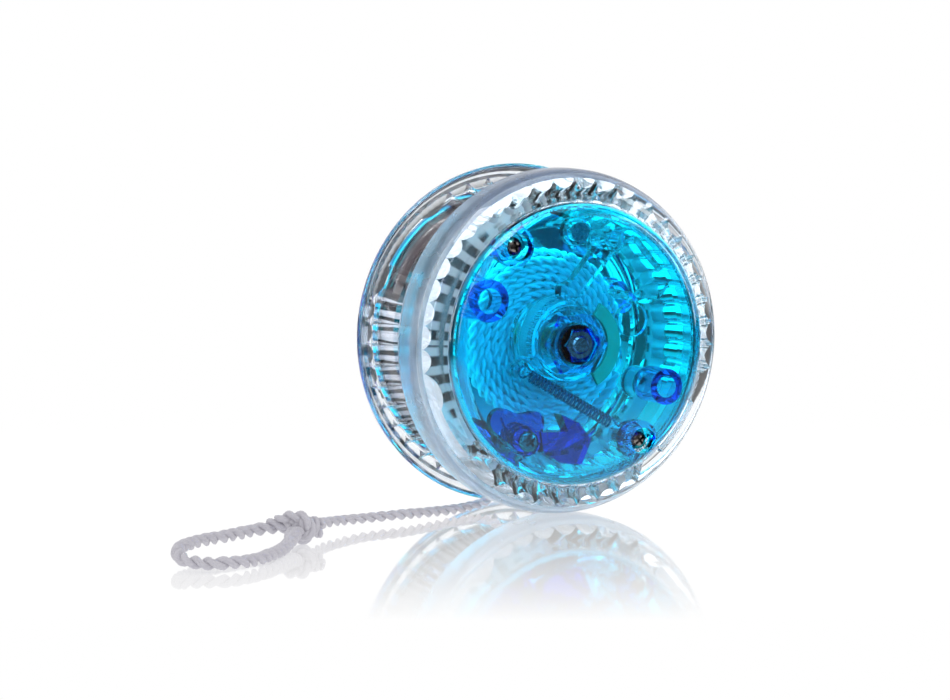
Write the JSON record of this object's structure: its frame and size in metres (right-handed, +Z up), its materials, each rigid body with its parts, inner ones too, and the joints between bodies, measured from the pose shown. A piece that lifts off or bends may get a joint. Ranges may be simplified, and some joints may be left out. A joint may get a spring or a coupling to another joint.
{
  "type": "clutch yo-yo",
  "caption": "Yo-yo with clear fluted halves, see-through blue covers, a spring-held centrifugal clutch inside, and a white cord with a knotted finger loop.",
  "frame": {"origin": "on the axle, midway between the two halves, where the string turns", "axes": "Y along the axle, with the clutch half towards -Y; Z up, the yo-yo standing on its rims; X to the right seen from the clutch side"},
  "size_m": [0.1074, 0.0555, 0.057],
  "materials": {
    "clear_plastic": "polished clear",
    "blue_plastic": "polished see-through blue",
    "dark_blue_plastic": "polished see-through dark blue",
    "white_plastic": "moulded",
    "screw_steel": "dark plated",
    "steel": "turned",
    "spring_steel": "drawn wire",
    "brass": "turned",
    "friction_rubber": "satin",
    "cord": "twisted cotton"
  },
  "bodies": {
    "spool": {"spool_drum": "clear_plastic", "string_winding": "cord", "string_tail": "cord", "string_knot": "cord", "finger_loop": "cord"},
    "yoyo_body": {"front_shell": "clear_plastic", "rear_shell": "clear_plastic", "front_cover": "blue_plastic", "rear_cover": "blue_plastic", "front_cover_screws": "screw_steel", "rear_cover_screws": "screw_steel", "axle": "steel", "front_nut": "steel", "rear_nut": "steel", "front_thrust_washer": "brass", "rear_washer": "brass", "bearing_sleeve": "brass", "rear_spacer": "white_plastic", "hub_clip": "brass", "arm_pivot_pin": "steel", "lever_pivot_screw": "screw_steel", "lever_torsion_spring": "spring_steel", "return_spring": "spring_steel"},
    "clutch_arm": {"clutch_arm": "clear_plastic", "arm_weight": "steel", "brake_pad": "friction_rubber"},
    "weight_lever": {"weight_lever": "dark_blue_plastic"}
  },
  "joints": [
    {"name": "body_spin", "type": "hinge", "parent": "spool", "child": "yoyo_body", "pos_m": [0, 0, 0], "axis": [0, 1, 0], "continuous": true},
    {"name": "clutch_arm_swing", "type": "hinge", "parent": "yoyo_body", "child": "clutch_arm", "pos_m": [0.0081, -0.0096, 0.0166], "axis": [0, 1, 0], "range_deg": [0, 3.5], "deforming": ["return_spring"]},
    {"name": "weight_lever_swing", "type": "hinge", "parent": "yoyo_body", "child": "weight_lever", "pos_m": [-0.0081, -0.0101, -0.0157], "axis": [0, 1, 0], "range_deg": [-3, 5]}
  ]
}
